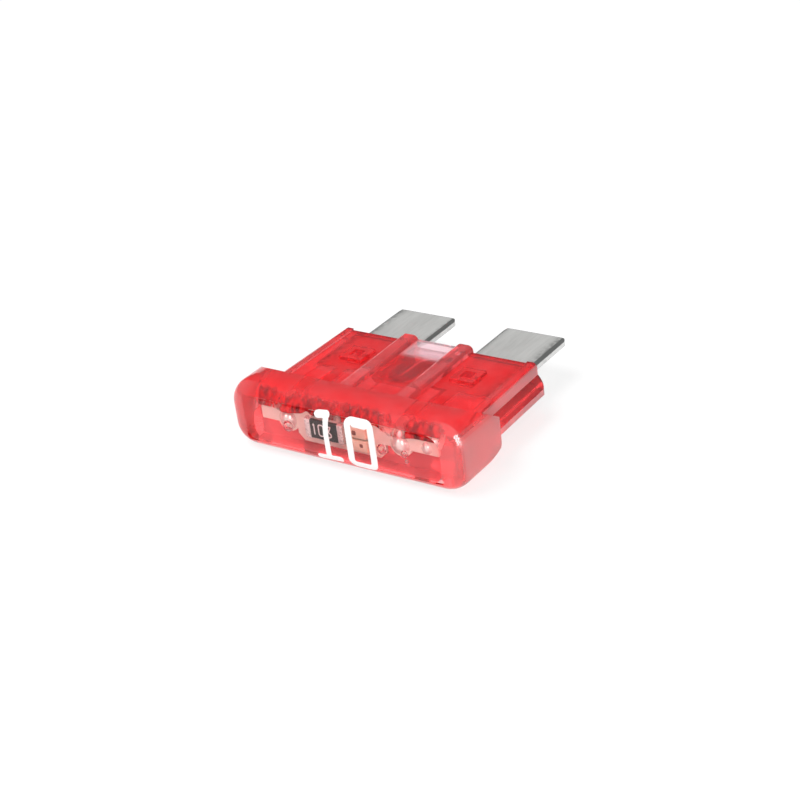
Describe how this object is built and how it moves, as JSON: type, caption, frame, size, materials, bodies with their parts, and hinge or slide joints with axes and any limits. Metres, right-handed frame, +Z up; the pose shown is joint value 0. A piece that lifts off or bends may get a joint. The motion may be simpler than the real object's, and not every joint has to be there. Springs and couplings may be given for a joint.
{
  "type": "blade fuse with indicator",
  "caption": "Translucent red blade fuse lying on its side: thick rounded head with a resin-potted indicator board in its front, ribbed body and flat zinc blades.",
  "frame": {"origin": "centre of the bounding box, on the surface that the fuse lies on", "axes": "+X across the two blades, +Y from the head to the blade tips, +Z up through the thickness, square to the blades' broad sides"},
  "size_m": [0.0194, 0.0184, 0.0051],
  "materials": {
    "red_plastic": "translucent moulded polycarbonate",
    "zinc": "satin stamped zinc",
    "board": "pale glass-fibre laminate",
    "solder": "bright reflowed solder",
    "resistor_black": "matt black glaze on ceramic",
    "tinned_caps": "tinned",
    "lamp_amber": "clear-cast lamp chip",
    "gold_feet": "gold-plated",
    "clear_resin": "clear potting resin with small bubbles"
  },
  "bodies": {
    "root": {"housing": "red_plastic", "fuse_element": "zinc", "indicator_board": "board", "solder_joints": "solder", "resistor_body": "resistor_black", "resistor_caps": "tinned_caps", "lamp_forward": "lamp_amber", "lamp_reverse": "lamp_amber", "lamp_feet": "gold_feet", "resin_window": "clear_resin"}
  },
  "joints": []
}
